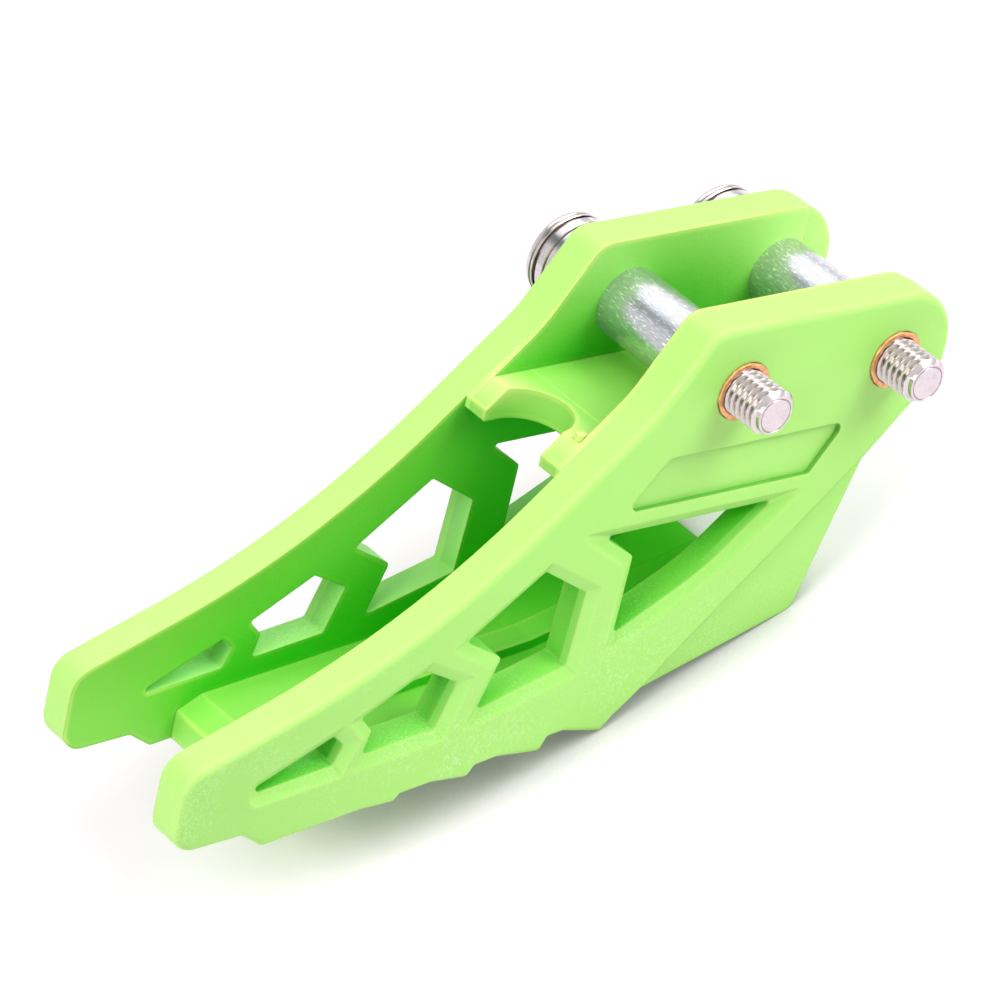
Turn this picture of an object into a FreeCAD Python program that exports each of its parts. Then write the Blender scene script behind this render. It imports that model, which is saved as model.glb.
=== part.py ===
import FreeCAD, Part

import math
import os

# Motorcycle chain guide, millimetres. The part is drawn in a side view: X runs from the nose
# (minus) to the rear, Z is up and the front bolt is close to X 0, Z 0. Y is the width, with the
# plate that carries the free thread ends on the minus side. The last step tips the nose up, so
# that the part stands as it does when it is put down: on its last bump and the fins.

# Moulded body, across the width
body_width = 36.4
passage_width = 23.8      # between the plates, where the chain runs
bay_width = 21.4          # between the plates above the bridge, where the spacers sit
outer_round = 1.2         # softened edges of the outer faces
window_bevel_run = 2.0    # bevel round each window, measured on the outer face
window_bevel_depth = 1.2
needle_tip = -math.cos(math.radians(30))    # a corner under 30 degrees is a needle tip

# Moulded body, side view
nose_x = -95.2
nose_floor_z = -62.9
top_z = 11.6
rear_x = 42.4
rear_round = 10.6

# Sole: a sloping line with four rounded bumps, each steep at the rear and shallow in front
bump_crests = ((-13.2, -59.2), (-25.2, -60.2), (-39.2, -61.7), (-53.2, -63.0))
bump_rears = ((-10.9, -56.6), (-24.0, -57.8), (-38.0, -59.9), (-52.2, -61.8))
bump_fronts = ((-21.2, -57.4), (-34.0, -59.3), (-46.5, -61.1), (-60.0, -63.0))
bump_round = 1.3
sole_front = (-77.8, -65.2)
sole_step_top = (-82.2, -62.3)

# Fin: the lower rear corner of each plate, set back from the outer face
fin_setback = 1.0
fin_line = ((34.0, -12.9), (-10.5, -55.6))
fin_corner = (22.9, -44.3)
fin_front = (-6.2, -53.1)
fin_root = (30.7, -17.2)

# Floor of the chain passage and the raised strip that carries the rollers
floor_front_x = -73.9
floor_front_top_z = -59.8
ramp_top = (-69.5, -57.6)
floor_bend = (-17.0, -52.1)
floor_rear = (20.7, -43.1)
strip_width = 5.0
strip_height = 1.5

# Bridge between the plates under the spacers, with a half-round notch in its front edge
bridge_top_z = -8.8
bridge_thickness = 5.2
bridge_front_x = -28.4
bridge_rear_x = 35.0
notch_width = 13.8
notch_depth = 9.5
nib_diameter = 1.8
nib_height = 1.2
nib_from_front = 4.6

# Shallow bare panel pressed into each outer face
panel_depth = 0.8
panel_round = 1.2
panel_corners = tuple((x, z, panel_round) for x, z in (
    (-19.2, -18.0), (-12.2, -9.6), (23.9, -9.6), (18.3, -18.0)))

# Bolts, spacers, washers and bushes
front_bolt_x = -0.35
bolt_z = 0.3
hole_spacing = 31.4
bolt_diameter = 8.0
bolt_relief = 0.8         # the grip inside the spacers is this much thinner, as on a rolled thread
bolt_reach = 7.9          # free thread beyond the outer face
bolt_tip_chamfer = 0.7
head_diameter = 15.2
head_height = 8.0
head_edge_round = 1.6
head_groove_width = 0.5
head_groove_depth = 0.5
head_groove_height = 5.0
bolt_clearance = 0.4      # on the diameter of every hole that a bolt passes through
spacer_diameter = 12.2
washer_diameter = 16.0
washer_thickness = 1.6
bush_diameter = 10.0
bush_proud = 0.4

half_body = body_width / 2
half_passage = passage_width / 2
half_bay = bay_width / 2
clear_bore = bolt_diameter + bolt_clearance
bolt_centres = (front_bolt_x, front_bolt_x + hole_spacing)

plate_corners = (
    (nose_x, nose_floor_z, 4.0),
    (nose_x, -49.3, 4.5),
    (-52.8, -34.3, 131.0),
    (-16.5, -1.3, 25.0),
    (-7.9, top_z, 4.0),
    (rear_x, top_z, rear_round),
    (rear_x, -4.1, 5.0),
    (*fin_root, 2.0),
    (*fin_corner, 2.5),
    (*fin_front, 2.0),
    *((x, z, r) for rear, crest, front in zip(bump_rears, bump_crests, bump_fronts)
      for (x, z), r in ((rear, 0), (crest, bump_round), (front, 0))),
    (*sole_front, 1.0),
    (*sole_step_top, 1.0),
)

windows = (
    ((-83.9, -55.6, 0.6), (-66.5, -53.6, 0.8), (-65.2, -50.1, 0.8), (-67.4, -48.2, 0.8)),
    ((-62.7, -46.1, 0.5), (-60.1, -48.8, 1.0), (-61.0, -52.9, 0.5),
     (-47.5, -51.3, 0.5), (-44.8, -43.5, 0.5), (-51.6, -40.0, 0.5)),
    ((-44.6, -36.4, 0.5), (-36.8, -40.8, 1.0), (-39.7, -49.7, 0.5),
     (-23.0, -45.2, 0.5), (-22.3, -32.1, 0.5), (-31.6, -26.5, 0.5)),
    ((-21.1, -22.4, 0.5), (-14.2, -27.2, 1.0), (-14.5, -41.2, 0.5),
     (1.5, -32.9, 40.0), (13.2, -22.4, 0.5)),
)


def vector(x, z, y=0.0):
    return FreeCAD.Vector(x, y, z)


def rounded_wire(corners, y=0.0):
    """Closed wire in the side view through (x, z, radius) corners."""
    starts, ends, middles = [], [], []
    count = len(corners)
    for i in range(count):
        x, z, radius = corners[i]
        here = vector(x, z, y)
        if radius <= 0:
            starts.append(here)
            ends.append(here)
            middles.append(None)
            continue
        before = (vector(corners[i - 1][0], corners[i - 1][1], y) - here).normalize()
        following = corners[(i + 1) % count]
        after = (vector(following[0], following[1], y) - here).normalize()
        half_angle = before.getAngle(after) / 2
        reach = radius / math.tan(half_angle)
        bisector = (before + after).normalize()
        starts.append(here + before * reach)
        ends.append(here + after * reach)
        middles.append(here + bisector * (radius / math.sin(half_angle) - radius))
    edges = []
    for i in range(count):
        if middles[i] is not None:
            edges.append(Part.Arc(starts[i], middles[i], ends[i]).toShape())
        next_start = starts[(i + 1) % count]
        if ends[i].distanceToPoint(next_start) > 1e-4:
            edges.append(Part.LineSegment(ends[i], next_start).toShape())
    return Part.Wire(edges)


def grown(corners, distance):
    """The same corners moved outward by a distance, with the corners that bulge kept as tight.

    A needle tip would run far out that way, so it goes round its own centre instead.
    """
    count = len(corners)
    area = sum(corners[i - 1][0] * corners[i][1] - corners[i][0] * corners[i - 1][1]
               for i in range(count))
    turn = 1 if area > 0 else -1
    result = []
    for i in range(count):
        x, z, radius = corners[i]
        ax, az = x - corners[i - 1][0], z - corners[i - 1][1]
        bx, bz = corners[(i + 1) % count][0] - x, corners[(i + 1) % count][1] - z
        al, bl = math.hypot(ax, az), math.hypot(bx, bz)
        n1 = (turn * az / al, -turn * ax / al)
        n2 = (turn * bz / bl, -turn * bx / bl)
        facing = n1[0] * n2[0] + n1[1] * n2[1]
        scale = distance / (1 + facing)
        bulges_out = (ax * bz - az * bx) * turn > 0
        if not bulges_out:
            new_radius = max(radius - distance, 0.3)
        elif facing < needle_tip:
            new_radius = radius + distance
        else:
            new_radius = radius
        result.append((x + (n1[0] + n2[0]) * scale, z + (n1[1] + n2[1]) * scale, new_radius))
    return tuple(result)


def prism(corners, y_from, y_to):
    """Solid from a side-view outline, between two levels of Y."""
    face = Part.Face(rounded_wire(corners, y_from))
    return face.extrude(FreeCAD.Vector(0, y_to - y_from, 0))


def sharp(points):
    return tuple((x, z, 0) for x, z in points)


def cylinder(x, diameter, y_from, y_to):
    """Round bar along the width, on the line of the bolts."""
    return Part.makeCylinder(diameter / 2, y_to - y_from, vector(x, bolt_z, y_from),
                             FreeCAD.Vector(0, 1, 0))


def block(x_from, x_to, y_from, y_to, z_from, z_to):
    return Part.makeBox(x_to - x_from, y_to - y_from, z_to - z_from,
                        FreeCAD.Vector(x_from, y_from, z_from))


def edges_on_outer_faces(solid):
    """Edges that lie in one of the two outer faces."""
    boxes = [(edge, edge.BoundBox) for edge in solid.Edges]
    return [edge for edge, box in boxes
            if box.YLength < 1e-6 and abs(abs(box.YMin) - half_body) < 1e-6]


def passage_space():
    """Everything between the plates that is empty: the chain passage and the spacer bay."""
    far = 200.0
    bridge_bottom_z = bridge_top_z - bridge_thickness
    above_floor = sharp((
        (floor_front_x, -far), (floor_front_x, floor_front_top_z), ramp_top, floor_bend,
        floor_rear, (floor_rear[0], -far), (far, -far), (far, far), (-far, far), (-far, -far)))
    space = prism(above_floor, -half_passage, half_passage)
    bay = block(bridge_front_x, far, -half_bay, half_bay, bridge_top_z, far)
    keep_solid = block(bridge_front_x, bridge_rear_x, -far, far, bridge_bottom_z, far)
    behind_bridge = block(bridge_rear_x, far, -half_bay, half_bay, bridge_bottom_z, far)
    return space.cut(keep_solid).fuse(bay).fuse(behind_bridge)


def strip():
    """Raised strip along the middle of the floor, rounded down at its front end."""
    lift = strip_height
    outline = sharp((
        (ramp_top[0], ramp_top[1] - 1), (ramp_top[0] + 2 * lift, ramp_top[1] + 1.2 * lift),
        (floor_bend[0], floor_bend[1] + lift), (floor_rear[0], floor_rear[1] + lift),
        (floor_rear[0], floor_rear[1] - 1), (floor_bend[0], floor_bend[1] - 1)))
    return prism(outline, -strip_width / 2, strip_width / 2)


def notch():
    """Half-round notch through the bridge, open to the front."""
    half = notch_width / 2
    low = bridge_top_z - bridge_thickness - 1
    high = bridge_top_z + 1
    end_x = bridge_front_x + notch_depth - half
    round_end = Part.makeCylinder(half, high - low, vector(end_x, low))
    mouth = block(bridge_front_x - 1, end_x, -half, half, low, high)
    return round_end.fuse(mouth)


def window_cutters():
    cutters = []
    for corners in windows:
        cutters.append(prism(corners, -half_body - 1, half_body + 1))
        for side in (-1, 1):
            wide = rounded_wire(grown(corners, window_bevel_run), side * half_body)
            narrow = rounded_wire(corners, side * (half_body - window_bevel_depth))
            cutters.append(Part.makeLoft([wide, narrow], True, True))
    return cutters


def fin_cutters():
    (x1, z1), (x2, z2) = fin_line
    below = sole_front[1] - 1
    behind = rear_x + 1
    corners = sharp(((x1, z1), (x2, z2), (x2, below), (behind, below), (behind, z1)))
    inner = half_body - fin_setback
    return [prism(corners, inner, half_body + 1), prism(corners, -half_body - 1, -inner)]


def guide_body():
    solid = prism(plate_corners, -half_body, half_body)
    solid = solid.makeFillet(outer_round, edges_on_outer_faces(solid))
    solid = solid.cut(passage_space()).fuse(strip())
    nib_foot = vector(bridge_front_x + nib_from_front, bridge_top_z - 1, nib_diameter / 2 - half_bay)
    solid = solid.fuse(Part.makeCylinder(nib_diameter / 2, nib_height + 1, nib_foot))
    inner = half_body - panel_depth
    cutters = [notch()] + window_cutters() + fin_cutters()
    cutters += [prism(panel_corners, inner, half_body + 1),
                prism(panel_corners, -half_body - 1, -inner)]
    for x in bolt_centres:
        cutters.append(cylinder(x, clear_bore, 0, half_body + 1))
        cutters.append(cylinder(x, bush_diameter, -half_body - 1, 0))
    for cutter in cutters:
        solid = solid.cut(cutter)
    return solid.removeSplitter()


def bolt(x):
    """Round-headed bolt: head, grip through the spacer and the threaded end that stands free."""
    underside = half_body + washer_thickness
    thread_start = -half_body - bush_proud
    tip = -half_body - bolt_reach
    grip = cylinder(x, bolt_diameter - bolt_relief, thread_start, underside)
    thread = cylinder(x, bolt_diameter, tip, thread_start)
    tip_edges = [edge for edge in thread.Edges if edge.BoundBox.YMax < tip + 0.01]
    thread = thread.makeChamfer(bolt_tip_chamfer, tip_edges)
    crown = underside + head_height
    head = cylinder(x, head_diameter, underside, crown)
    crown_edges = [edge for edge in head.Edges if edge.BoundBox.YMin > crown - 0.01]
    head = head.makeFillet(head_edge_round, crown_edges)
    low = underside + head_groove_height
    high = low + head_groove_width
    groove = ring(x, head_diameter + 2, head_diameter - 2 * head_groove_depth, low, high)
    return grip.fuse([thread, head.cut(groove)]).removeSplitter()


def ring(x, outer, inner, y_from, y_to):
    return cylinder(x, outer, y_from, y_to).cut(cylinder(x, inner, y_from, y_to))


def rounding_centre(corners, index):
    """Centre of the arc that rounds one corner of an outline."""
    x, z, radius = corners[index]
    here = vector(x, z)
    before = (vector(*corners[index - 1][:2]) - here).normalize()
    after = (vector(*corners[(index + 1) % len(corners)][:2]) - here).normalize()
    half_angle = before.getAngle(after) / 2
    return here + (before + after).normalize() * (radius / math.sin(half_angle)), radius


def stood_up(nodes):
    """Turn every node so that the line under the last bump and the fins lies on the ground."""
    places = [corner[:2] for corner in plate_corners]
    bump, bump_radius = rounding_centre(plate_corners, places.index(bump_crests[0]))
    fin, fin_radius = rounding_centre(plate_corners, places.index(fin_corner))
    across = fin - bump
    tilt = math.atan2(across.z, across.x) + math.asin((bump_radius - fin_radius) / across.Length)
    rotation = FreeCAD.Rotation(FreeCAD.Vector(0, 1, 0), math.degrees(tilt))
    turn = FreeCAD.Placement(FreeCAD.Vector(), rotation)
    body_box = nodes["guide_body"].transformGeometry(turn.toMatrix()).optimalBoundingBox(False)
    lowest = turn.multVec(bump).z - bump_radius
    bolt_middle = (half_body + washer_thickness + head_height - half_body - bolt_reach) / 2
    shift = FreeCAD.Vector(-body_box.Center.x, -bolt_middle, -lowest)
    turn = FreeCAD.Placement(shift, turn.Rotation)
    for shape in nodes.values():
        shape.Placement = turn
    return nodes


def all_nodes():
    nodes = {"guide_body": guide_body()}
    for name, x in zip(("front", "rear"), bolt_centres):
        nodes[name + "_spacer"] = ring(x, spacer_diameter, clear_bore, -half_bay, half_bay)
        nodes[name + "_bolt"] = bolt(x)
        nodes[name + "_washer"] = ring(x, washer_diameter, clear_bore, half_body,
                                       half_body + washer_thickness)
        nodes[name + "_bush"] = ring(x, bush_diameter, clear_bore, -half_body - bush_proud, -half_bay)
    return nodes


if __name__ == "__main__":
    os.makedirs("parts", exist_ok=True)
    for node, shape in stood_up(all_nodes()).items():
        shape.exportStep("parts/" + node + ".step")
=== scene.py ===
"""Looks of a moulded motorcycle chain guide with its bolts, spacers and bushes."""

import math
from types import SimpleNamespace

import bmesh
import bpy
import numpy as np
from mathutils import Matrix, Vector


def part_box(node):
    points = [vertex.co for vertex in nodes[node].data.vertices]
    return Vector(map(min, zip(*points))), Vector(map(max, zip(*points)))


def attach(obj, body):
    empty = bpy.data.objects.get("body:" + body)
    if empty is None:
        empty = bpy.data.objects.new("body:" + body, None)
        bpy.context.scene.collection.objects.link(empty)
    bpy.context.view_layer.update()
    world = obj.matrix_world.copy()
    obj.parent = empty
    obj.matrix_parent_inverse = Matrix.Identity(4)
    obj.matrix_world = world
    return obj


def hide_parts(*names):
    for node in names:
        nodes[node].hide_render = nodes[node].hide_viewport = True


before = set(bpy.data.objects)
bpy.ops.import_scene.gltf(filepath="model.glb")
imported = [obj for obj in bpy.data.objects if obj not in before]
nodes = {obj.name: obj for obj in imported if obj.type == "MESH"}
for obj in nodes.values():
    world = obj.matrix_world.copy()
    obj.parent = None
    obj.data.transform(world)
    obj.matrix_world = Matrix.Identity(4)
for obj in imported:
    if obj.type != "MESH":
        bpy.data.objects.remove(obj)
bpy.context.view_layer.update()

MM = 0.001

# Where the part stands: the side view's X axis is tipped down to the rear by this much
TIP_ANGLE = math.radians(22.2998)

# Bolts, in millimetres; a thread ends at THREAD_END along the bolt's axis, which is Y
THREAD_RADIUS = 4.0
THREAD_PITCH = 1.25
THREAD_DEPTH = 0.68
THREAD_END = -12.0
TIP_CHAMFER = 0.7
GRIP_RADIUS = 3.6
HEAD_RADIUS = 7.6
HEAD_ROUND = 1.6
SOCKET_RADIUS = 3.6
SOCKET_DEPTH = 3.5

# Bushes, in millimetres: outside, bore, and bore at the lip
BUSH_RADIUS = 5.0
CLEAR_RADIUS = 4.2
LIP_RADIUS = 4.06

# Share of a pitch that the flat crest of a thread takes; the flat root takes as much
THREAD_CREST = 0.14

# Steps round a turned surface
ROUND_STEPS = 96

# Grooves round a head: height over the seat, width and depth; and the groove in a bolt's tip:
# radius at which it starts, width and depth
HEAD_GROOVES = ((2.9, 0.3, 0.3), (4.8, 0.7, 0.5), (6.0, 0.25, 0.2))
TIP_GROOVE = (2.72, 0.26, 0.12)

# Moulded body, in metres: distances from its middle plane, where STEP_AT starts the outer part of
# the window walls, then places in its side view, where x runs to the rear and z up from the front
# bolt
HALF_BAY = 10.7 * MM
HALF_PASSAGE = 11.9 * MM
STEP_AT = 15.3 * MM
PANEL_FLOOR = 17.35 * MM
BRIDGE_FRONT = -28.4 * MM
UNDER_BRIDGE_TOP = -9.0 * MM
SOLE_TOP = -56.0 * MM
NOSE_REAR = -88.0 * MM
PARTING_LINE_X = -16.9 * MM

# How far the nylon and the floor look for surfaces that shade them
SKY_REACH = 80 * MM
FLOOR_REACH = 16 * MM

# How wide the painted highlight along the nylon's edges is and how wide they are rounded, and how
# wide the rim of a plate is
EDGE_HIGHLIGHT_WIDTH = 1.4 * MM
EDGE_ROUND = 0.5 * MM
RIM_WIDTH = 2.5 * MM

# Top edge of a plate in the side view, in millimetres, its two ends first, and the corner and size
# of the window that its curve is scaled to
CURVE_CORNER = (-96.5, -66.0)
CURVE_SIZE = (140.0, 80.0)
TOP_EDGE = ((-96.0, -52.0), (44.0, 2.0), (-80.0, -44.2), (-60.0, -35.6), (-50.0, -29.8),
            (-40.0, -22.6), (-30.0, -13.9), (-20.0, -4.8), (-12.0, 5.1), (-6.0, 11.3),
            (30.0, 11.3), (40.0, 7.4))

# Lamps stand this far from the point that they face, in metres
LAMP_DISTANCE = 1.1
LIT_POINT = Vector((0, 0, 0.03))

# Gap between the softboxes behind the part: its direction and how wide its edge and its core are
GAP_AZIMUTH, GAP_ELEVATION = math.radians(198), math.radians(50)
GAP_EDGE, GAP_CORE = math.cos(math.radians(19)), math.cos(math.radians(6))

MATH = "ShaderNodeMath"


def linear(hex_colour):
    """An sRGB hex colour as the linear red, green, blue and alpha that shaders take."""
    channels = [int(hex_colour[i:i + 2], 16) / 255 for i in (1, 3, 5)]
    return [c / 12.92 if c <= 0.04045 else ((c + 0.055) / 1.055) ** 2.4 for c in channels] + [1.0]


def add(tree, kind, inputs=(), stops=(), **settings):
    """One shader node with its settings, its inputs and, on a colour ramp, its stops.

    An input is a number, a hex colour, a socket, or a node whose first output is meant.
    """
    made = tree.nodes.new(kind)
    for name, value in settings.items():
        setattr(made, name, value)
    for socket, value in dict(inputs).items():
        if isinstance(value, bpy.types.Node):
            value = next(output for output in value.outputs if output.enabled)
        if isinstance(value, bpy.types.NodeSocket):
            tree.links.new(value, made.inputs[socket])
        else:
            made.inputs[socket].default_value = linear(value) if isinstance(value, str) else value
    for i, (position, colour) in enumerate(stops):
        elements = made.color_ramp.elements
        element = elements[i] if i < 2 else elements.new(position)
        element.position = position
        element.color = linear(colour)
    return made


def all_of(tree, *masks):
    """Mask that is 1 only where every one of the masks is; a number among them weakens it."""
    whole = masks[0]
    for mask in masks[1:]:
        whole = add(tree, MATH, {0: whole, 1: mask}, operation="MULTIPLY")
    return whole


def new_material(name):
    """A new material with its node tree and its principled shader."""
    material = bpy.data.materials.new(name)
    material.use_nodes = True
    tree = material.node_tree
    return material, tree, tree.nodes["Principled BSDF"]


def mesh_from_grid(name, points, closed_along=False):
    """Mesh of quads over rows of points that run round an axis, with its normals outwards.

    Each row closes on itself; closed_along also joins the last row to the first. A row that has
    shrunk to a point closes an end.
    """
    rows, steps = points.shape[:2]
    index = np.arange(rows * steps).reshape(rows, steps)
    index = np.hstack([index, index[:, :1]])
    if closed_along:
        index = np.vstack([index, index[:1]])
    quads = np.stack([index[:-1, :-1], index[1:, :-1], index[1:, 1:], index[:-1, 1:]], axis=-1)
    mesh = bpy.data.meshes.new(name)
    mesh.from_pydata(points.reshape(-1, 3).tolist(), [], quads.reshape(-1, 4).tolist())
    surface = bmesh.new()
    surface.from_mesh(mesh)
    bmesh.ops.remove_doubles(surface, verts=surface.verts, dist=0.02 * MM)
    bmesh.ops.recalc_face_normals(surface, faces=surface.faces)
    surface.to_mesh(mesh)
    surface.free()
    mesh.shade_smooth()
    mesh.set_sharp_from_angle(angle=math.radians(35))
    return mesh


def place(name, mesh, material):
    """Object at the origin that rides on the part and takes its finish from a material slot."""
    piece = bpy.data.objects.new(name, mesh)
    bpy.context.scene.collection.objects.link(piece)
    mesh.materials.append(material)
    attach(piece, "root")
    return piece


# Materials

def side_view(tree):
    """Place on the part in its side view, in metres: x to the rear and z up from the front bolt."""
    turned_back = Matrix.Rotation(-TIP_ANGLE, 3, "Y")
    low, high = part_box("front_spacer")
    offset = -(turned_back @ ((low + high) / 2))
    coordinates = add(tree, "ShaderNodeTexCoord").outputs["Object"]
    moved = add(tree, "ShaderNodeMapping", {"Vector": coordinates, "Location": offset,
                                            "Rotation": (0.0, -TIP_ANGLE, 0.0)})
    return add(tree, "ShaderNodeSeparateXYZ", {"Vector": moved}).outputs


def top_edge_height(tree, x):
    """Height of the plates' top edge at x, from a curve through TOP_EDGE scaled to 0 to 1."""
    (left, bottom), (width, height) = CURVE_CORNER, CURVE_SIZE
    along = add(tree, MATH, {0: x, 1: 1 / (width * MM), 2: -left / width},
                operation="MULTIPLY_ADD")
    curve = add(tree, "ShaderNodeFloatCurve", {"Value": along})
    points = curve.mapping.curves[0].points
    for i, (x_mm, z_mm) in enumerate(TOP_EDGE):
        place_on_curve = ((x_mm - left) / width, (z_mm - bottom) / height)
        if i < 2:
            points[i].location = place_on_curve
        else:
            points.new(*place_on_curve)
    curve.mapping.update()
    return add(tree, MATH, {0: curve, 1: height * MM, 2: bottom * MM}, operation="MULTIPLY_ADD")


def places_on_moulding(tree):
    """What the nylon's colour depends on: where a spot lies, how it faces, how much sky it sees.

    The masks are 1 for: outside, what lies beyond the passage; deep, what isn't near the top edge
    of a plate; clear, what is away from the sole and the nose; wall, the walls of the windows;
    rim, the turned edge of a plate's outline; inner, the inner faces of the plates; over_bridge,
    the bridge's top and all above it.
    """
    at = SimpleNamespace()
    at.coordinates = add(tree, "ShaderNodeTexCoord").outputs["Object"]
    at.x, at.y, at.z = side_view(tree)
    at.from_middle = add(tree, MATH, {0: at.y}, operation="ABSOLUTE")
    at.normal = add(tree, "ShaderNodeNewGeometry").outputs["True Normal"]
    across = add(tree, "ShaderNodeSeparateXYZ", {"Vector": at.normal}).outputs["Y"]
    at.across = add(tree, MATH, {0: across}, operation="ABSOLUTE")
    at.open_sky = add(tree, "ShaderNodeAmbientOcclusion", {"Distance": SKY_REACH}, samples=6,
                      only_local=True).outputs["AO"]

    at.outside = add(tree, MATH, {0: at.from_middle, 1: HALF_PASSAGE + 0.1 * MM},
                     operation="GREATER_THAN")
    on_plate = add(tree, MATH, {0: at.from_middle, 1: HALF_BAY + 0.1 * MM},
                   operation="GREATER_THAN")
    under_top = add(tree, MATH, {0: top_edge_height(tree, at.x), 1: at.z}, operation="SUBTRACT")
    at.deep = add(tree, MATH, {0: under_top, 1: RIM_WIDTH}, operation="GREATER_THAN")
    not_deep = add(tree, MATH, {0: 1.0, 1: at.deep}, operation="SUBTRACT")
    at_sole = add(tree, MATH, {0: at.z, 1: SOLE_TOP}, operation="LESS_THAN")
    at_nose = add(tree, MATH, {0: at.x, 1: NOSE_REAR}, operation="LESS_THAN")
    low = add(tree, MATH, {0: at_sole, 1: at_nose}, operation="MAXIMUM")
    at.clear = add(tree, MATH, {0: 1.0, 1: low}, operation="SUBTRACT")
    along = add(tree, MATH, {0: at.across, 1: 0.3}, operation="LESS_THAN")
    at.wall = all_of(tree, along, at.outside, at.deep, at.clear)
    outline = add(tree, MATH, {0: all_of(tree, on_plate, not_deep),
                               1: all_of(tree, at.outside, low)}, operation="MAXIMUM")
    turned_out = add(tree, "ShaderNodeMapRange", {"Value": at.across, "From Min": 0.95,
                                                  "From Max": 0.35})
    at.rim = all_of(tree, outline, turned_out)

    at.over_bridge = add(tree, MATH, {0: at.z, 1: UNDER_BRIDGE_TOP}, operation="GREATER_THAN")
    faces_across = add(tree, MATH, {0: at.across, 1: 0.9}, operation="GREATER_THAN")
    at_bay = add(tree, MATH, {0: at.from_middle, 1: HALF_BAY - 0.2 * MM},
                 operation="GREATER_THAN")
    at.inner = all_of(tree, faces_across, at_bay)
    return at


def inside_colour(tree, at):
    """Colour of the floor, the bridge and the inner faces of the plates, with painted shade where
    they see little sky and painted light towards the rear and the bay's open edges.
    """
    inner_colour = add(tree, "ShaderNodeValToRGB", {"Fac": at.open_sky}, stops=(
        (0.25, "#14C804"), (0.37, "#50D32A"), (0.46, "#70D339"), (0.66, "#86DC48")))

    # Painted light: the inner faces are painted paler towards the open rear end, where light comes
    # in between the plates
    painted_light_to_rear = add(tree, "ShaderNodeMapRange", {"Value": at.x, "From Min": 6 * MM,
                                               "From Max": 38 * MM})
    inner_colour = add(tree, "ShaderNodeMix", {"Factor": painted_light_to_rear, 6: inner_colour, 7: "#C0FF7E"},
                       data_type="RGBA")

    # Painted shade and light: the bay over the bridge is painted deep green in its corners and pale
    # along its open edges
    painted_shade_in_corner = add(tree, "ShaderNodeMapRange", {"Value": at.open_sky, "From Min": 0.47,
                                                 "From Max": 0.29, "To Max": 0.9})
    painted_shade_in_corner = all_of(tree, at.over_bridge, painted_shade_in_corner)
    inner_colour = add(tree, "ShaderNodeMix", {"Factor": painted_shade_in_corner, 6: inner_colour,
                                               7: "#1CAE0C"}, data_type="RGBA")
    painted_light_in_open = add(tree, "ShaderNodeMapRange", {"Value": at.open_sky, "From Min": 0.48,
                                               "From Max": 0.66, "To Max": 0.8})
    painted_light_in_open = all_of(tree, at.over_bridge, painted_light_in_open)
    inner_colour = add(tree, "ShaderNodeMix", {"Factor": painted_light_in_open, 6: inner_colour,
                                               7: "#BEFC84"}, data_type="RGBA")

    # Painted shade: floor and bridge are painted deeper where they see less sky, the bridge deepest
    # towards the bay
    floor_colour = add(tree, "ShaderNodeValToRGB", {"Fac": at.open_sky}, stops=(
        (0.14, "#3ED020"), (0.28, "#62CE32"), (0.4, "#94DC54"), (0.6, "#98E05E"),
        (0.9, "#A4E468")))
    painted_shade_in_bay = add(tree, "ShaderNodeMapRange", {"Value": at.open_sky, "From Min": 0.6,
                                              "From Max": 0.42, "To Max": 0.7})
    painted_shade_in_bay = all_of(tree, at.over_bridge, painted_shade_in_bay)
    floor_colour = add(tree, "ShaderNodeMix", {"Factor": painted_shade_in_bay, 6: floor_colour,
                                               7: "#62DC36"}, data_type="RGBA")
    return add(tree, "ShaderNodeMix", {"Factor": at.inner, 6: floor_colour, 7: inner_colour},
               data_type="RGBA")


def outer_face_colour(tree, at):
    """Colour of the outer faces, with painted shade deepening bevels that see less sky; deeper also
    towards the nose.
    """
    colour = add(tree, "ShaderNodeValToRGB", {"Fac": at.open_sky}, stops=(
        (0.5, "#84D04E"), (0.9, "#92D85D"), (1.0, "#ABED71")))
    flat = add(tree, "ShaderNodeMapRange", {"Value": at.across, "From Min": 0.93,
                                            "From Max": 0.98, "To Max": 0.8})
    colour = add(tree, "ShaderNodeMix", {"Factor": flat, 6: colour, 7: "#ABED71"},
                 data_type="RGBA")
    to_nose = add(tree, "ShaderNodeMapRange", {"Value": at.x, "From Min": -35 * MM,
                                               "From Max": -85 * MM})
    return add(tree, "ShaderNodeMix", {"Factor": to_nose, 6: colour, 7: "#A2E26A"},
               data_type="RGBA")


def wall_colour(tree, at):
    """Colour of the window walls, with painted shade deepening them where they see less sky, and
    painted light making them paler in the far plate.
    """
    colour = add(tree, "ShaderNodeValToRGB", {"Fac": at.open_sky}, stops=(
        (0.3, "#4ECE26"), (0.44, "#76E242"), (0.55, "#92EA5C"), (0.75, "#A4F06A")))
    far_plate = add(tree, "ShaderNodeMapRange", {"Value": at.y, "From Min": 0.0,
                                                 "From Max": 1 * MM, "To Max": 0.35})
    return add(tree, "ShaderNodeMix", {"Factor": far_plate, 6: colour, 7: "#C4FCA4"},
               data_type="RGBA")


def painted_light_beside_notch(tree, at):
    """Mask of the bridge beside and in its notch, where it is thin; it is painted pale there as
    painted light.
    """
    at_front = add(tree, "ShaderNodeMapRange", {"Value": at.x, "From Min": BRIDGE_FRONT + 10 * MM,
                                                "From Max": BRIDGE_FRONT + 4 * MM,
                                                "To Max": 0.75})
    between = add(tree, MATH, {0: at.from_middle, 1: HALF_PASSAGE}, operation="LESS_THAN")
    at_top = add(tree, "ShaderNodeMapRange", {"Value": at.z, "From Min": UNDER_BRIDGE_TOP - 4 * MM,
                                              "From Max": UNDER_BRIDGE_TOP})
    not_inner = add(tree, MATH, {0: 1.0, 1: at.inner}, operation="SUBTRACT")
    return all_of(tree, at_front, between, at_top, not_inner)


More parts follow.
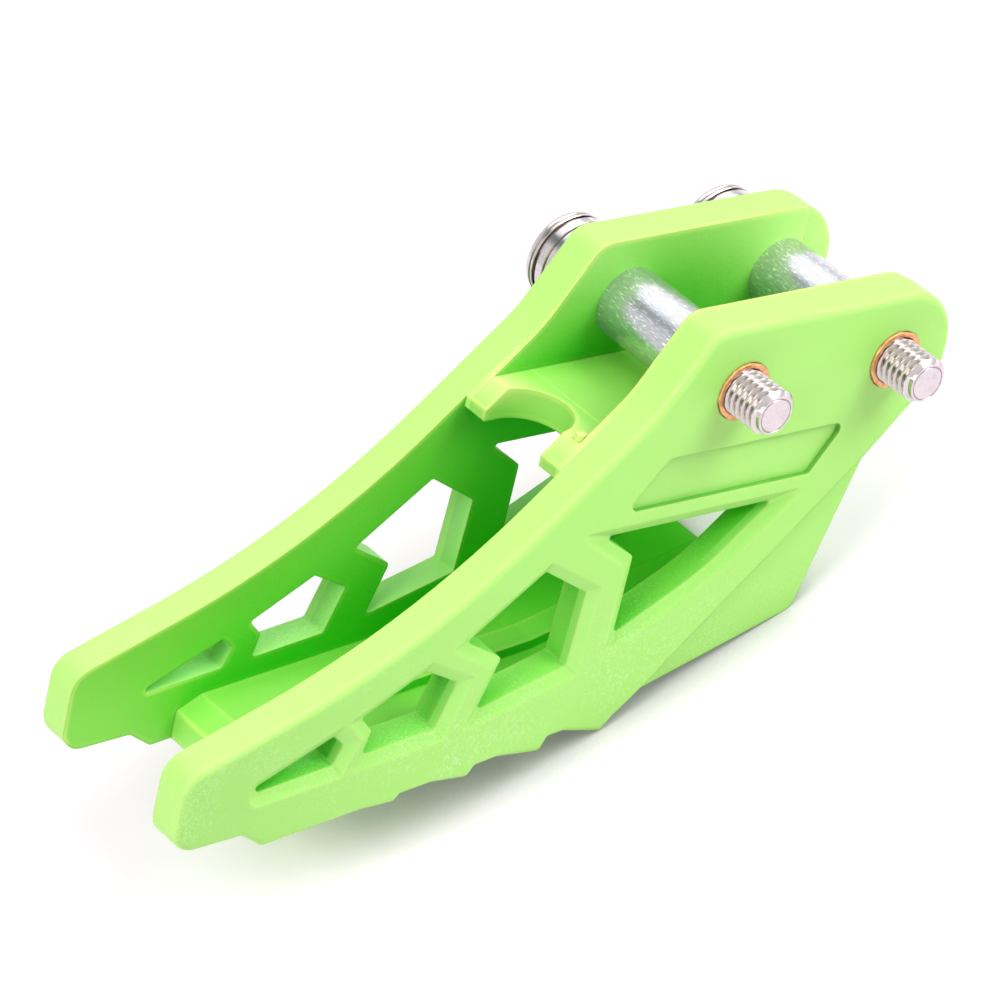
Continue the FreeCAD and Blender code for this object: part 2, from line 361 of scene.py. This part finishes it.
def painted_light_nose_side(tree, at):
    """Mask of window walls and bevels that face the nose, in their outer part, which is painted
    lighter: painted light where the lamps leave them in shade.
    """
    outer_part = add(tree, "ShaderNodeMapRange", {"Value": at.from_middle, "From Min": STEP_AT,
                                                  "From Max": STEP_AT + 0.3 * MM, "To Max": 0.8})
    rearward = add(tree, "ShaderNodeSeparateXYZ", {"Vector": at.normal}).outputs["X"]
    faces_nose = add(tree, "ShaderNodeMapRange", {"Value": rearward, "From Min": -0.2,
                                                  "From Max": -0.45})
    return all_of(tree, outer_part, faces_nose, at.deep, at.clear)


def frost(tree, at):
    """Mask of fine pale frost where the mould was rough, drawn 0.4 mm wide, so that it shows."""
    flecks = add(tree, "ShaderNodeTexNoise", {"Vector": at.coordinates, "Scale": 2600.0,
                                              "Detail": 1.0, "Roughness": 0.8})
    flecks = add(tree, "ShaderNodeMapRange", {"Value": flecks, "From Min": 0.5,
                                              "From Max": 0.72})
    patches = add(tree, "ShaderNodeTexNoise", {"Vector": at.coordinates, "Scale": 60.0,
                                               "Detail": 3.0, "Roughness": 0.6})
    patches = add(tree, "ShaderNodeMapRange", {"Value": patches, "From Min": 0.42,
                                               "From Max": 0.7, "To Min": 0.06,
                                               "To Max": 0.6})
    low_down = add(tree, "ShaderNodeMapRange", {"Value": at.z, "From Min": -26 * MM,
                                                "From Max": -46 * MM})
    off_rim = add(tree, MATH, {0: at.rim, 1: -0.6, 2: 1.0}, operation="MULTIPLY_ADD")
    return all_of(tree, flecks, patches, low_down, at.outside, off_rim)


def painted_edge_highlight(tree, at):
    """Mask of the painted highlight along raised edges, where they are bright.

    An edge is where the rounded normal turns away from the true one, and it is raised where even
    its close surroundings are open. Edges that face down get no painted highlight.
    """
    near_edge = add(tree, "ShaderNodeBevel", {"Radius": EDGE_HIGHLIGHT_WIDTH}, samples=3)
    turn = add(tree, "ShaderNodeVectorMath", {0: near_edge, 1: at.normal},
               operation="DOT_PRODUCT")
    edge = add(tree, "ShaderNodeMapRange", {"Value": turn, "From Min": 0.99, "From Max": 0.93})
    near_sky = add(tree, "ShaderNodeAmbientOcclusion", {"Distance": 1.2 * MM}, samples=3,
                   only_local=True).outputs["AO"]
    raised = add(tree, "ShaderNodeMapRange", {"Value": near_sky, "From Min": 0.6,
                                              "From Max": 0.85})
    bright = add(tree, "ShaderNodeMapRange", {"Value": at.open_sky, "From Min": 0.25,
                                              "From Max": 0.55})
    less_outside = add(tree, MATH, {0: at.outside, 1: -0.72, 2: 0.95}, operation="MULTIPLY_ADD")
    faces_up = add(tree, "ShaderNodeSeparateXYZ", {"Vector": near_edge}).outputs["Z"]
    not_under = add(tree, "ShaderNodeMapRange", {"Value": faces_up, "From Min": -0.45,
                                                 "From Max": -0.05})
    return all_of(tree, edge, raised, bright, less_outside, not_under)


def parting_line(tree, at):
    """Mask of the thin parting line that the mould left across the bridge."""
    on_line = add(tree, MATH, {0: at.x, 1: PARTING_LINE_X, 2: 0.12 * MM}, operation="COMPARE")
    between = add(tree, MATH, {0: at.from_middle, 1: HALF_BAY}, operation="LESS_THAN")
    at_bridge = add(tree, MATH, {0: at.z, 1: UNDER_BRIDGE_TOP - 1 * MM}, operation="GREATER_THAN")
    return all_of(tree, on_line, between, at_bridge)


def moulded_nylon():
    """Lime green nylon, injection moulded and satin, with painted highlights along its raised
    edges.

    Its colour is painted deeper the less open sky a place sees, and its gloss is lowered there too:
    painted shade in place of the light that is lost between the plates.
    """
    material, tree, shader = new_material("lime_nylon_moulded")
    at = places_on_moulding(tree)
    at_panel = add(tree, MATH, {0: at.from_middle, 1: PANEL_FLOOR}, operation="GREATER_THAN")
    line = parting_line(tree, at)
    faint_line = add(tree, MATH, {0: line, 1: 0.5}, operation="MULTIPLY")

    # Each layer covers those before it where its mask is 1
    colour = inside_colour(tree, at)
    for mask, over in ((at.outside, outer_face_colour(tree, at)),
                       (at.wall, wall_colour(tree, at)),
                       # Painted highlight on the turned rim of a plate's outline
                       (at.rim, "#BAF37A"),
                       (painted_light_beside_notch(tree, at), "#E2FA94"),
                       (painted_light_nose_side(tree, at), "#B8FA80"),
                       # Painted shade: the walls of the panel recess are painted dark green
                       (all_of(tree, at.wall, at_panel, 0.8), "#46A82C"),
                       (frost(tree, at), "#D8FBC4"),
                       (painted_edge_highlight(tree, at), "#E8FF88"),
                       (faint_line, "#C4FA9A")):
        colour = add(tree, "ShaderNodeMix", {"Factor": mask, 6: colour, 7: over},
                     data_type="RGBA")
    tree.links.new(colour.outputs[2], shader.inputs["Base Color"])
    shader.inputs["Roughness"].default_value = 0.5
    shader.inputs["IOR"].default_value = 1.5
    # Painted shade on the gloss: less specular where little sky is open
    gloss = add(tree, "ShaderNodeMapRange", {"Value": at.open_sky, "From Min": 0.25,
                                             "From Max": 0.6, "To Min": 0.1, "To Max": 0.5})
    tree.links.new(gloss.outputs["Result"], shader.inputs["Specular IOR Level"])

    # Mould grain, drawn 0.6 mm wide, about four times as coarse as the real one, so that it shows
    grain = add(tree, "ShaderNodeTexNoise", {"Vector": at.coordinates, "Scale": 1800.0,
                                             "Detail": 2.0, "Roughness": 0.6})
    relief = add(tree, MATH, {0: line, 1: 0.5, 2: grain}, operation="MULTIPLY_ADD")
    rounded = add(tree, "ShaderNodeBevel", {"Radius": EDGE_ROUND}, samples=2)
    bump = add(tree, "ShaderNodeBump", {"Height": relief, "Strength": 0.15,
                                        "Distance": 0.15 * MM, "Normal": rounded})
    tree.links.new(bump.outputs["Normal"], shader.inputs["Normal"])
    return material


def zinc_tube():
    """Zinc plated drawn tube: half bright and bluish, finely scratched along its length.

    The scratches are drawn 0.25 mm wide, coarser than real ones, so that they show, and the worn
    patches are about 6 mm across.
    """
    material, tree, shader = new_material("zinc_plated_drawn_tube")
    coordinates = add(tree, "ShaderNodeTexCoord").outputs["Object"]
    drawn = add(tree, "ShaderNodeMapping", {"Vector": coordinates, "Scale": (1.0, 0.22, 1.0)})
    scratches = add(tree, "ShaderNodeTexNoise", {"Vector": drawn, "Scale": 4200.0, "Detail": 2.0,
                                                 "Roughness": 0.6})
    worn = add(tree, "ShaderNodeTexNoise", {"Vector": coordinates, "Scale": 160.0,
                                            "Detail": 3.0, "Roughness": 0.6})
    worn = add(tree, "ShaderNodeMapRange", {"Value": worn, "From Min": 0.42, "From Max": 0.62})
    colour = add(tree, "ShaderNodeValToRGB", {"Fac": scratches}, stops=(
        (0.45, "#BEC0C5"), (0.6, "#D0D0D4"), (0.68, "#FFFFFF")))
    tree.links.new(colour.outputs["Color"], shader.inputs["Base Color"])
    shader.inputs["Metallic"].default_value = 0.85
    shader.inputs["Roughness"].default_value = 0.25
    bump = add(tree, "ShaderNodeBump", {"Height": all_of(tree, scratches, worn), "Strength": 0.3,
                                        "Distance": 0.1 * MM})
    tree.links.new(bump.outputs["Normal"], shader.inputs["Normal"])
    return material


def nickel_bolt():
    """Nickel plated steel with a rolled thread: bright and slightly warm, with painted shade
    darkening its grooves.

    It is blotched every millimetre, as handled plating is, and its ripples of 2 mm are drawn
    larger than real polishing marks, so that they bend the reflections visibly.
    """
    material, tree, shader = new_material("nickel_plated_steel")
    coordinates = add(tree, "ShaderNodeTexCoord").outputs["Object"]
    # Painted shade: the colour darkens to brown where little of the close surroundings is open
    open_to_light = add(tree, "ShaderNodeAmbientOcclusion", {"Distance": 1.0 * MM}, samples=3,
                        only_local=True).outputs["AO"]
    colour = add(tree, "ShaderNodeValToRGB", {"Fac": open_to_light}, stops=(
        (0.25, "#625448"), (0.6, "#B0A8A4"), (0.9, "#CFC8C9")))
    blotches = add(tree, "ShaderNodeTexNoise", {"Vector": coordinates, "Scale": 900.0,
                                                "Detail": 3.0, "Roughness": 0.7})
    blotches = add(tree, "ShaderNodeMapRange", {"Value": blotches, "From Min": 0.45,
                                                "From Max": 0.7, "To Max": 0.5})
    colour = add(tree, "ShaderNodeMix", {"Factor": blotches, 6: colour, 7: "#B4A8A6"},
                 data_type="RGBA")
    tree.links.new(colour.outputs[2], shader.inputs["Base Color"])
    shader.inputs["Metallic"].default_value = 1.0
    shader.inputs["Roughness"].default_value = 0.18
    ripples = add(tree, "ShaderNodeTexNoise", {"Vector": coordinates, "Scale": 500.0,
                                               "Detail": 2.0})
    bump = add(tree, "ShaderNodeBump", {"Height": ripples, "Strength": 0.04,
                                        "Distance": 0.1 * MM})
    tree.links.new(bump.outputs["Normal"], shader.inputs["Normal"])
    return material


def copper_bush():
    """Copper plated bush with a slightly ragged lip, browned in blotches of a millimetre."""
    material, tree, shader = new_material("copper_plated_bush")
    coordinates = add(tree, "ShaderNodeTexCoord").outputs["Object"]
    blotches = add(tree, "ShaderNodeTexNoise", {"Vector": coordinates, "Scale": 900.0,
                                                "Detail": 3.0, "Roughness": 0.6})
    colour = add(tree, "ShaderNodeValToRGB", {"Fac": blotches}, stops=(
        (0.35, "#CC8A54"), (0.65, "#F6BC88")))
    tree.links.new(colour.outputs["Color"], shader.inputs["Base Color"])
    shader.inputs["Metallic"].default_value = 0.6
    shader.inputs["Roughness"].default_value = 0.4
    return material


# Bolts and bushes

def arc(centre_radius, centre_y, radius, start, end, steps):
    """Points (radius, y) on an arc of a turned profile, between two angles in degrees."""
    angle = np.radians(np.linspace(start, end, steps))
    return np.column_stack([centre_radius + radius * np.cos(angle),
                            centre_y + radius * np.sin(angle)])


def turned(profile, shape, centre):
    """Surface turned about a bolt's axis.

    Each (radius, y) of the profile sweeps a full circle about the axis, and shape(radius, y,
    angle) gives the radius there, so that a helix or a hexagon can be cut. Angles start at +X
    and turn towards +Z.
    """
    angle = np.linspace(0, 2 * math.pi, ROUND_STEPS, endpoint=False)
    radius, y = np.array(profile, float).T
    wide = shape(radius[:, None], y[:, None], angle[None, :])
    points = np.empty((len(profile), ROUND_STEPS, 3))
    points[..., 0] = centre.x + wide * np.cos(angle) * MM
    points[..., 1] = y[:, None] * MM
    points[..., 2] = centre.z + wide * np.sin(angle) * MM
    return points


def bolt_piece(node, name):
    """Round-headed bolt with a rolled thread and a hexagon socket, as one turned surface.

    Along the thread the radius falls from crest to root and back once per pitch, and the fall
    starts one pitch later for each full turn, which winds it into a helix. In the socket the
    radius is the flat's distance divided by the cosine of the angle from the flat's middle.
    """
    low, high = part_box(node)
    centre = (low + high) / 2
    tip, crown = low.y / MM, high.y / MM
    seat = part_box(node.replace("bolt", "washer"))[1].y / MM
    thread = np.arange(tip + TIP_CHAMFER, THREAD_END, THREAD_PITCH / 12)
    head = [(GRIP_RADIUS, THREAD_END + 0.3), (GRIP_RADIUS, seat), (HEAD_RADIUS - 0.3, seat),
            (HEAD_RADIUS, seat + 0.3)]
    for from_seat, width, depth in HEAD_GROOVES:
        start, end, floor_radius = seat + from_seat, seat + from_seat + width, HEAD_RADIUS - depth
        head += [(HEAD_RADIUS, start - 0.1), (HEAD_RADIUS - 0.1, start),
                 (floor_radius, start + 0.05), (floor_radius, end - 0.05),
                 (HEAD_RADIUS - 0.1, end), (HEAD_RADIUS, end + 0.1)]
    ring, ring_width, ring_depth = TIP_GROOVE
    profile = np.vstack([
        [(0.01, tip), (ring, tip), (ring + 0.08, tip + ring_depth),
         (ring + ring_width - 0.08, tip + ring_depth), (ring + ring_width, tip),
         (THREAD_RADIUS - TIP_CHAMFER - 0.15, tip),
         (THREAD_RADIUS - TIP_CHAMFER, tip + 0.08)],
        np.column_stack([np.full(len(thread), THREAD_RADIUS), thread]),
        head,
        arc(HEAD_RADIUS - HEAD_ROUND, crown - HEAD_ROUND, HEAD_ROUND, 0, 90, 10),
        [(SOCKET_RADIUS + 0.3, crown), (SOCKET_RADIUS, crown - 0.25),
         (SOCKET_RADIUS, crown - SOCKET_DEPTH), (0.01, crown - SOCKET_DEPTH - 0.8)],
    ])

    def shape(radius, y, angle):
        phase = np.mod((y - tip) / THREAD_PITCH - angle / (2 * math.pi), 1.0)
        from_crest = np.abs(2 * phase - 1) - THREAD_CREST
        fall = np.clip(from_crest / (1 - 2 * THREAD_CREST), 0, 1)
        threaded = (y >= tip + TIP_CHAMFER) & (y < THREAD_END)
        cut = THREAD_RADIUS - THREAD_DEPTH * fall
        from_flat = np.mod(angle, math.pi / 3) - math.pi / 6
        hexagon = radius * math.cos(math.pi / 6) / np.cos(from_flat)
        in_socket = (y > crown - SOCKET_DEPTH - 0.1) & (radius <= SOCKET_RADIUS) & (y < crown)
        return np.where(threaded, cut, np.where(in_socket, hexagon, radius + 0 * angle))

    mesh = mesh_from_grid(name, turned(profile, shape, centre))
    piece = place(name, mesh, nickel)
    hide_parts(node)


def bush_piece(node, name):
    """Pressed-in bush: a tube with a rounded lip, a turned surface whose rim wavers slightly."""
    low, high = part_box(node)
    centre = (low + high) / 2
    lip, end = low.y / MM, high.y / MM
    profile = np.vstack([
        [(BUSH_RADIUS, end), (CLEAR_RADIUS, end), (CLEAR_RADIUS, lip + 1.2),
         (LIP_RADIUS, lip + 0.8), (LIP_RADIUS, lip + 0.1), (LIP_RADIUS + 0.08, lip + 0.02)],
        arc(BUSH_RADIUS - 0.15, lip + 0.17, 0.15, -90, 0, 5),
    ])

    def shape(radius, y, angle):
        waver = 0.05 * np.sin(5 * angle) + 0.04 * np.sin(11 * angle + 1.0)
        at_lip = (y < lip + 0.2) & (radius > LIP_RADIUS + 0.2)
        return radius + np.where(at_lip, waver - 0.09, 0)

    mesh = mesh_from_grid(name, turned(profile, shape, centre), closed_along=True)
    piece = place(name, mesh, copper)
    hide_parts(node)


nylon = moulded_nylon()
zinc = zinc_tube()
nickel = nickel_bolt()
copper = copper_bush()

for node, material in (("guide_body", nylon), ("front_spacer", zinc), ("rear_spacer", zinc),
                       ("front_washer", zinc), ("rear_washer", zinc)):
    nodes[node].data.materials.clear()
    nodes[node].data.materials.append(material)

for end in ("front", "rear"):
    bolt_piece(end + "_bolt", end + "_bolt_threaded")
    bush_piece(end + "_bush", end + "_bush_lipped")


# Floor

def seen_directly(tree):
    """1 where an eye, a gloss or a glass looks at a surface, and 0 where it only lights others."""
    path = add(tree, "ShaderNodeLightPath").outputs
    seen = add(tree, MATH, {0: path["Is Camera Ray"], 1: path["Is Glossy Ray"]},
               operation="MAXIMUM")
    return add(tree, MATH, {0: seen, 1: path["Is Transmission Ray"]}, operation="MAXIMUM")


def floor_surface():
    """White paper that takes the shadow, with a painted greenish shadow darkening it near the part;
    it stays white to the eye beyond the softboxes' reach.
    """
    material, tree, shader = new_material("white_paper")
    tree.nodes.remove(shader)
    # Painted shadow: the paper's colour darkens to greenish grey where the part closes off the sky
    open_sky = add(tree, "ShaderNodeAmbientOcclusion", {"Distance": FLOOR_REACH},
                   samples=5).outputs["AO"]
    shade = add(tree, "ShaderNodeValToRGB", {"Fac": open_sky}, stops=(
        (0.3, "#78846F"), (0.75, "#F5EBF5")))
    paper = add(tree, "ShaderNodeBsdfDiffuse", {"Color": shade})
    coordinates = add(tree, "ShaderNodeTexCoord").outputs["Object"]
    distance = add(tree, "ShaderNodeVectorMath", {0: coordinates}, operation="LENGTH")
    far_off = add(tree, "ShaderNodeMapRange", {"Value": distance, "From Min": 0.2,
                                               "From Max": 0.9, "To Min": 0.17})
    lift = add(tree, "ShaderNodeEmission", {"Color": "#FFFFFF",
                                            "Strength": all_of(tree, far_off, seen_directly(tree))})
    both = add(tree, "ShaderNodeAddShader", {0: paper, 1: lift})
    tree.links.new(both.outputs[0], tree.nodes["Material Output"].inputs["Surface"])
    return material


floor_mesh = bpy.data.meshes.new("floor")
floor_mesh.from_pydata([(-3, -3, 0), (3, -3, 0), (3, 3, 0), (-3, 3, 0)], [], [(0, 1, 2, 3)])
floor = bpy.data.objects.new("floor", floor_mesh)
floor_mesh.materials.append(floor_surface())
bpy.context.scene.collection.objects.link(floor)


# Light

def towards(azimuth, elevation):
    """Unit vector from the part; azimuth 0 is towards the thread ends (-Y), 90 to the rear (+X)."""
    return Vector((math.sin(azimuth) * math.cos(elevation),
                   -math.cos(azimuth) * math.cos(elevation), math.sin(elevation)))


# World: a white room that lights little by itself; the metals show its gap as a dark streak
world = bpy.data.worlds.new("studio")
bpy.context.scene.world = world
world.use_nodes = True
room = world.node_tree
room.nodes.clear()
direction = add(room, "ShaderNodeTexCoord").outputs["Generated"]
to_gap = add(room, "ShaderNodeVectorMath", {0: direction, 1: towards(GAP_AZIMUTH, GAP_ELEVATION)},
             operation="DOT_PRODUCT")
gap = add(room, "ShaderNodeMapRange", {"Value": to_gap, "From Min": GAP_EDGE,
                                       "From Max": GAP_CORE})
in_gloss = add(room, "ShaderNodeLightPath").outputs["Is Glossy Ray"]
seen_colour = add(room, "ShaderNodeMix", {"Factor": all_of(room, gap, in_gloss), 6: "#FFFFFF",
                                          7: "#7E8C92"}, data_type="RGBA")
lit = add(room, "ShaderNodeBackground", {"Color": "#FFFFFF", "Strength": 0.05})
seen_room = add(room, "ShaderNodeBackground", {"Color": seen_colour, "Strength": 1.0})
mixed_room = add(room, "ShaderNodeMixShader", {0: seen_directly(room), 1: lit, 2: seen_room})
add(room, "ShaderNodeOutputWorld", {"Surface": mixed_room})

# Softboxes: name, azimuth and elevation of the lamp seen from the part, side in metres, watts
SOFTBOXES = (
    ("top_softbox", 0, 89, 0.9, 4.2),
    ("left_softbox", -80, 45, 0.7, 8.2),
    ("front_softbox", 45, 35, 0.6, 5.6),
    ("right_softbox", 66, 38, 0.7, 5.0),
    ("back_softbox", 147, 43, 1.0, 2.8),
)
for name, azimuth, elevation, side, power in SOFTBOXES:
    away = towards(math.radians(azimuth), math.radians(elevation))
    lamp = bpy.data.lights.new(name, "AREA")
    lamp.size = side
    lamp.energy = power
    softbox = bpy.data.objects.new(name, lamp)
    softbox.location = LIT_POINT + away * LAMP_DISTANCE
    softbox.rotation_mode = "QUATERNION"
    softbox.rotation_quaternion = away.to_track_quat("Z", "Y")
    bpy.context.scene.collection.objects.link(softbox)

# Camera, worked out from the photograph's vanishing lines and the thread diameter
camera_data = bpy.data.cameras.new("camera")
camera_data.sensor_width = 36.0
camera_data.lens = 227.32
camera_data.clip_start = 0.05
camera_data.clip_end = 20.0
camera = bpy.data.objects.new("camera", camera_data)
camera.rotation_mode = "QUATERNION"
camera.location = (-0.366163, -0.606139, 0.687807)
camera.rotation_quaternion = (0.859784, 0.395086, -0.077116, -0.314216)
bpy.context.scene.collection.objects.link(camera)
bpy.context.scene.camera = camera

bpy.context.scene.view_settings.view_transform = "Standard"
